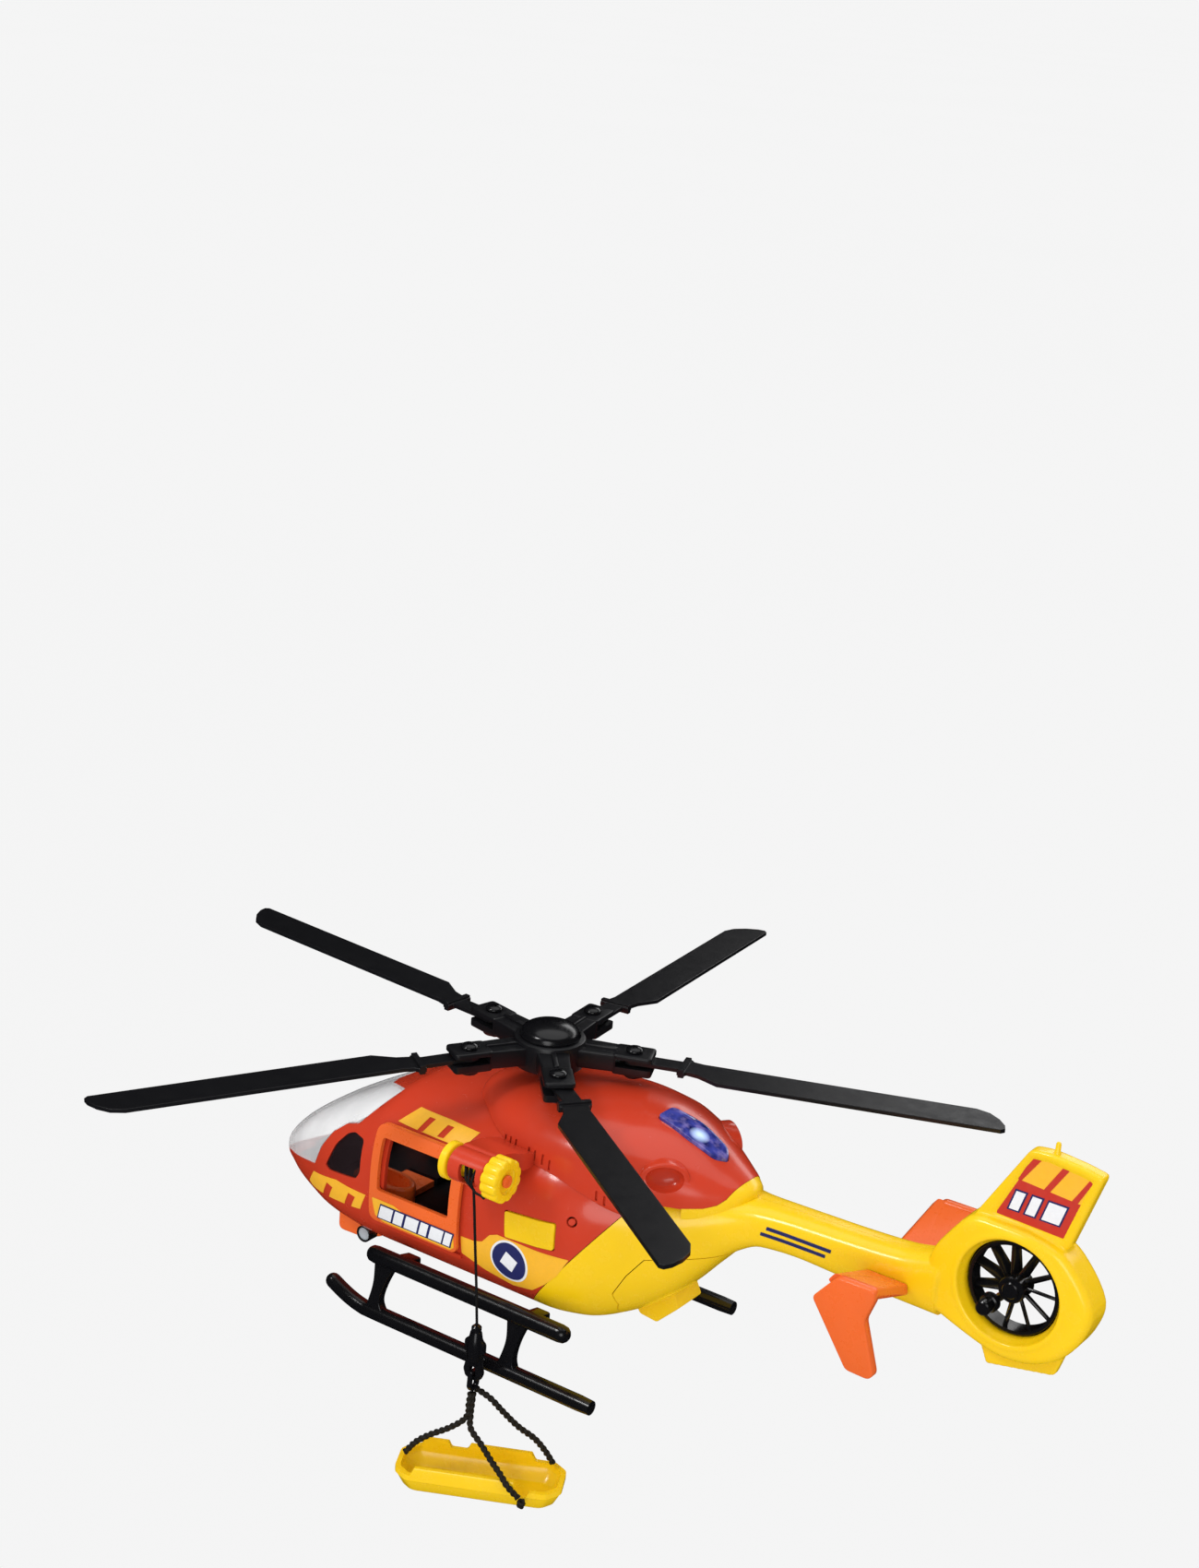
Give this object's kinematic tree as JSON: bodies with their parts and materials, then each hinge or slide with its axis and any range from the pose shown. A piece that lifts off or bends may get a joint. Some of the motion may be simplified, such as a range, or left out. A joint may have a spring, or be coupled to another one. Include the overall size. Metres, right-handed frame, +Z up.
{
  "type": "toy helicopter",
  "caption": "Toy rescue helicopter with a hinged-blade rotor, shrouded tail fan, sliding doors, rear hatch, skids and a hand winch that lowers a stretcher.",
  "frame": {"origin": "Below the rotor mast, on the middle plane, in the plane through the undersides of both skids.", "axes": "+Z is up, -X points to the nose and +X to the tail, -Y is the port side, where the winch is."},
  "size_m": [0.3999, 0.3118, 0.1834],
  "materials": {
    "red_plastic": "smooth moulded red plastic",
    "yellow_plastic": "smooth moulded yellow plastic",
    "orange_plastic": "smooth moulded orange plastic",
    "black_plastic": "satin black plastic",
    "clear_plastic": "clear moulded plastic",
    "smoked_plastic": "dark tinted clear plastic",
    "blue_lens": "clear blue plastic lens",
    "thread": "black twisted thread",
    "steel": "bright steel",
    "screw_black": "dark domed screw heads",
    "board": "green laminate",
    "cell": "printed metal sleeve",
    "lamp_disc": "silvery grey disc"
  },
  "bodies": {
    "fuselage": {"cabin_shell_port": "red_plastic", "cockpit_window_port": "smoked_plastic", "rear_shell_port": "yellow_plastic", "stabiliser_port": "orange_plastic", "battery_port": "cell", "landing_gear_port": "black_plastic", "cabin_shell_starboard": "red_plastic", "cockpit_window_starboard": "smoked_plastic", "rear_shell_starboard": "yellow_plastic", "stabiliser_starboard": "orange_plastic", "battery_starboard": "cell", "landing_gear_starboard": "black_plastic", "canopy": "clear_plastic", "roof_light": "blue_lens", "engine_cowl": "red_plastic", "fin_antenna": "yellow_plastic", "cabin_floor": "black_plastic", "instrument_panel": "black_plastic", "front_seats": "orange_plastic", "rear_bench": "orange_plastic", "battery_cover": "black_plastic", "circuit_board": "board", "speaker": "black_plastic", "searchlight_pod": "orange_plastic", "searchlight_barrel": "black_plastic", "searchlight_lens": "lamp_disc", "winch_housing": "red_plastic", "hoist_thread": "thread"},
    "rotor": {"rotor_mast": "steel", "rotor_hub": "black_plastic", "rotor_cap": "black_plastic", "blade_screw_1": "screw_black", "blade_screw_2": "screw_black", "blade_screw_3": "screw_black", "blade_screw_4": "screw_black", "blade_screw_5": "screw_black"},
    "blade_1": {"rotor_blade_1": "black_plastic"},
    "blade_2": {"rotor_blade_2": "black_plastic"},
    "blade_3": {"rotor_blade_3": "black_plastic"},
    "blade_4": {"rotor_blade_4": "black_plastic"},
    "blade_5": {"rotor_blade_5": "black_plastic"},
    "tail_fan": {"tail_fan": "black_plastic"},
    "winch": {"winch_drum": "yellow_plastic", "winch_knob": "yellow_plastic", "winch_pin": "orange_plastic"},
    "hoist": {"hoist_hook": "black_plastic", "sling_ring": "black_plastic", "sling_leg_foot": "thread", "sling_leg_head_port": "thread", "sling_leg_head_starboard": "thread", "sling_knot": "thread", "stretcher": "yellow_plastic"},
    "door_port": {"sliding_door_port": "orange_plastic"},
    "door_starboard": {"sliding_door_starboard": "orange_plastic"},
    "rear_hatch": {"rear_hatch": "yellow_plastic"},
    "sound_button": {"sound_button": "yellow_plastic"}
  },
  "joints": [
    {"name": "rotor_spin", "type": "hinge", "parent": "fuselage", "child": "rotor", "pos_m": [0.0036, 0, 0.11], "axis": [0, 0, 1], "continuous": true},
    {"name": "blade_1_pivot", "type": "hinge", "parent": "rotor", "child": "blade_1", "pos_m": [0.0334, 0.01296, 0.1099], "axis": [0, 0, 1], "range_deg": [-9.4, 20.6]},
    {"name": "blade_2_pivot", "type": "hinge", "parent": "rotor", "child": "blade_2", "pos_m": [0.00049, 0.03235, 0.1099], "axis": [0, 0, 1], "range_deg": [-16.4, 13.6]},
    {"name": "blade_3_pivot", "type": "hinge", "parent": "rotor", "child": "blade_3", "pos_m": [-0.02813, 0.00703, 0.1099], "axis": [0, 0, 1], "range_deg": [-21.9, 8.1]},
    {"name": "blade_4_pivot", "type": "hinge", "parent": "rotor", "child": "blade_4", "pos_m": [-0.0129, -0.028, 0.1099], "axis": [0, 0, 1], "range_deg": [-10.5, 19.5]},
    {"name": "blade_5_pivot", "type": "hinge", "parent": "rotor", "child": "blade_5", "pos_m": [0.02514, -0.02434, 0.1099], "axis": [0, 0, 1], "range_deg": [-27, 3]},
    {"name": "fan_spin", "type": "hinge", "parent": "fuselage", "child": "tail_fan", "pos_m": [0.2018, 0, 0.0845], "axis": [0, 1, 0], "continuous": true},
    {"name": "hoist_slide", "type": "slide", "parent": "fuselage", "child": "hoist", "axis": [0, 0, -1], "range_m": [-0.009, 0.08], "deforming": ["hoist_thread"]},
    {"name": "winch_turn", "type": "hinge", "parent": "fuselage", "child": "winch", "pos_m": [0.012, -0.057, 0.0836], "axis": [1, 0, 0], "range_deg": [-180, 1540]},
    {"name": "door_port_slide", "type": "slide", "parent": "fuselage", "child": "door_port", "axis": [1, 0, 0], "range_m": [0, 0.036]},
    {"name": "door_starboard_slide", "type": "slide", "parent": "fuselage", "child": "door_starboard", "axis": [1, 0, 0], "range_m": [0, 0.036]},
    {"name": "rear_hatch_hinge", "type": "hinge", "parent": "fuselage", "child": "rear_hatch", "pos_m": [0.096, 0, 0.0602], "axis": [0, -1, 0], "range_deg": [0, 40]},
    {"name": "sound_button_press", "type": "slide", "parent": "fuselage", "child": "sound_button", "axis": [0, 1, 0], "range_m": [0, 0.0012], "stiffness_N_per_m": 300, "springref_m": -0.0005}
  ],
  "couplings": [
    {"joint": "winch_turn", "follows": "hoist_slide", "rad_per_m": 333.33}
  ]
}
